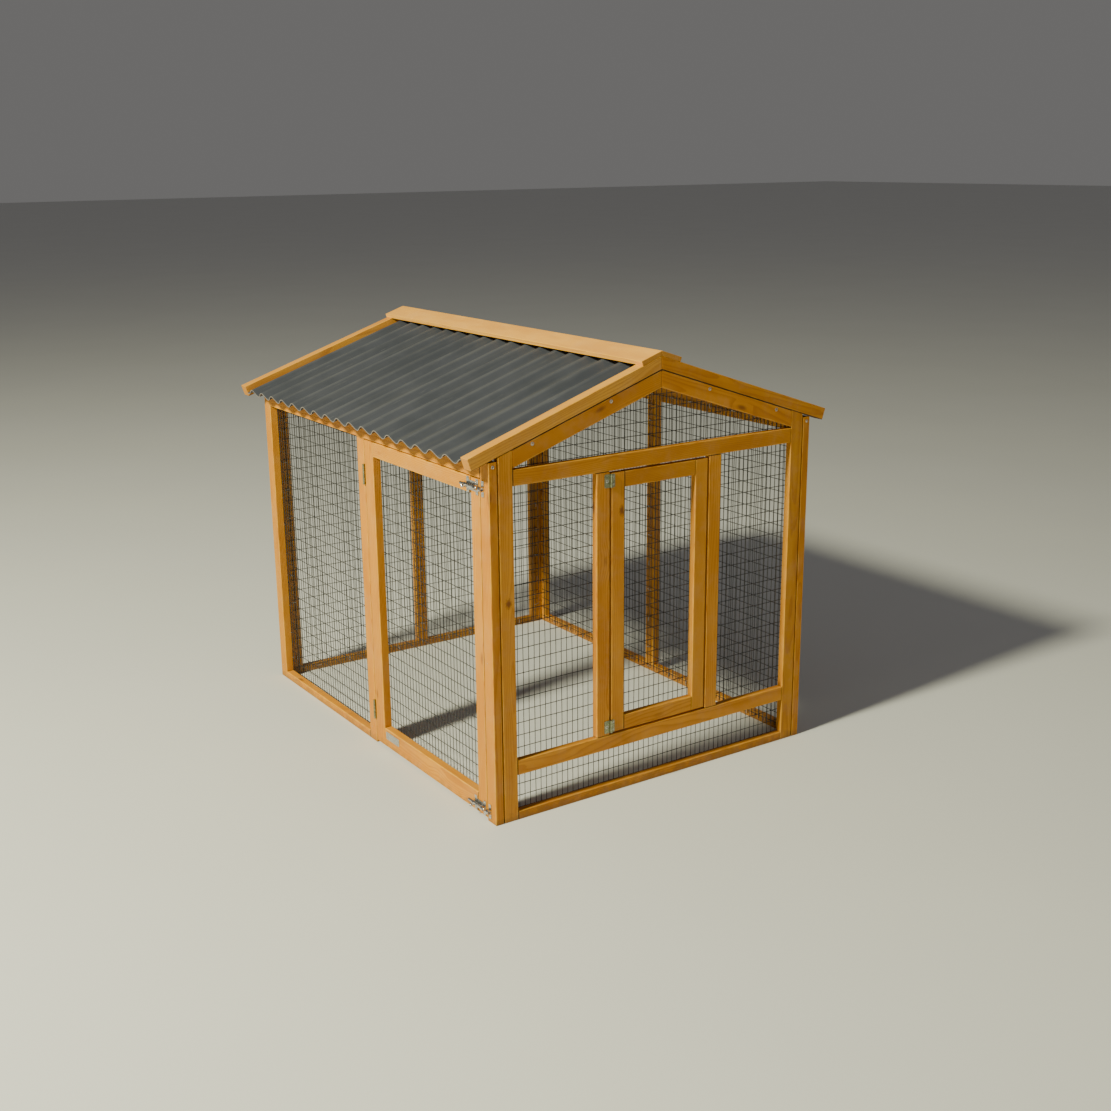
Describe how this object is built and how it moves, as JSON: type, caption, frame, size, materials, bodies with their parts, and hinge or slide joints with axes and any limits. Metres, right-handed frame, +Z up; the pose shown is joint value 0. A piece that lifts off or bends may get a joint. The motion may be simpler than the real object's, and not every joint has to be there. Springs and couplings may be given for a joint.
{
  "type": "rabbit hutch",
  "caption": "Gabled outdoor rabbit hutch: stained softwood frames with wire panels, a corrugated roof, a hinged side door with barrel bolts and a small hinged front door.",
  "frame": {"origin": "on the ground, in the middle of the hutch's bounding box", "axes": "+Z up; the ridge runs along Y, the front gable with the small door faces -Y, and the side door is in the -X wall"},
  "size_m": [0.8794, 1.0595, 0.8906],
  "materials": {
    "frame_wood": "honey-brown stained softwood, satin",
    "door_wood": "honey-brown stained softwood, satin",
    "roof_wood": "honey-brown stained softwood, satin",
    "roof_sheet": "dark grey, matt",
    "wire": "black coated welded wire",
    "hinge_zinc": "passivated zinc plate, satin",
    "bolt_zinc": "bright zinc plate"
  },
  "bodies": {
    "frame": {"front_base_rail": "frame_wood", "front_hinge_lower_frame_leaf": "hinge_zinc", "front_hinge_upper_frame_leaf": "hinge_zinc", "front_left_barge_board": "roof_wood", "front_left_mullion": "frame_wood", "front_left_rafter": "frame_wood", "front_left_stile": "frame_wood", "front_lower_rail": "frame_wood", "front_mesh": "wire", "front_right_barge_board": "roof_wood", "front_right_mullion": "frame_wood", "front_right_rafter": "frame_wood", "front_right_stile": "frame_wood", "front_tie_rail": "frame_wood", "left_base_rail": "frame_wood", "left_front_post": "frame_wood", "left_mesh": "wire", "left_middle_post": "frame_wood", "left_rear_post": "frame_wood", "left_roof_sheet": "roof_sheet", "left_top_rail": "frame_wood", "lower_bolt_keeper": "bolt_zinc", "rear_base_rail": "frame_wood", "rear_left_barge_board": "roof_wood", "rear_left_rafter": "frame_wood", "rear_left_stile": "frame_wood", "rear_mesh": "wire", "rear_middle_post": "frame_wood", "rear_right_barge_board": "roof_wood", "rear_right_rafter": "frame_wood", "rear_right_stile": "frame_wood", "ridge_cap": "roof_wood", "right_base_rail": "frame_wood", "right_front_post": "frame_wood", "right_mesh": "wire", "right_middle_post": "frame_wood", "right_rear_post": "frame_wood", "right_roof_sheet": "roof_sheet", "right_top_rail": "frame_wood", "side_hinge_lower_frame_leaf": "hinge_zinc", "side_hinge_upper_frame_leaf": "hinge_zinc", "upper_bolt_keeper": "bolt_zinc"},
    "side_door": {"lower_bolt_plate": "bolt_zinc", "side_door_bottom_rail": "door_wood", "side_door_hinge_stile": "door_wood", "side_door_latch_stile": "door_wood", "side_door_mesh": "wire", "side_door_top_rail": "door_wood", "side_hinge_lower_door_leaf": "hinge_zinc", "side_hinge_upper_door_leaf": "hinge_zinc", "upper_bolt_plate": "bolt_zinc"},
    "front_door": {"front_door_bottom_rail": "door_wood", "front_door_free_stile": "door_wood", "front_door_hinge_stile": "door_wood", "front_door_mesh": "wire", "front_door_top_rail": "door_wood", "front_hinge_lower_door_leaf": "hinge_zinc", "front_hinge_upper_door_leaf": "hinge_zinc"},
    "upper_bolt": {"upper_bolt_rod": "bolt_zinc"},
    "lower_bolt": {"lower_bolt_rod": "bolt_zinc"}
  },
  "joints": [
    {"name": "side_door_hinge", "type": "hinge", "parent": "frame", "child": "side_door", "pos_m": [-0.3984, -0.02115, 0.35], "axis": [0, 0, -1], "range_deg": [0, 170]},
    {"name": "front_door_hinge", "type": "hinge", "parent": "frame", "child": "front_door", "pos_m": [-0.12175, -0.52715, 0.4], "axis": [0, 0, -1], "range_deg": [0, 170]},
    {"name": "upper_bolt_slide", "type": "slide", "parent": "side_door", "child": "upper_bolt", "axis": [0, -1, 0], "range_m": [0, 0.017]},
    {"name": "lower_bolt_slide", "type": "slide", "parent": "side_door", "child": "lower_bolt", "axis": [0, -1, 0], "range_m": [0, 0.017]}
  ]
}
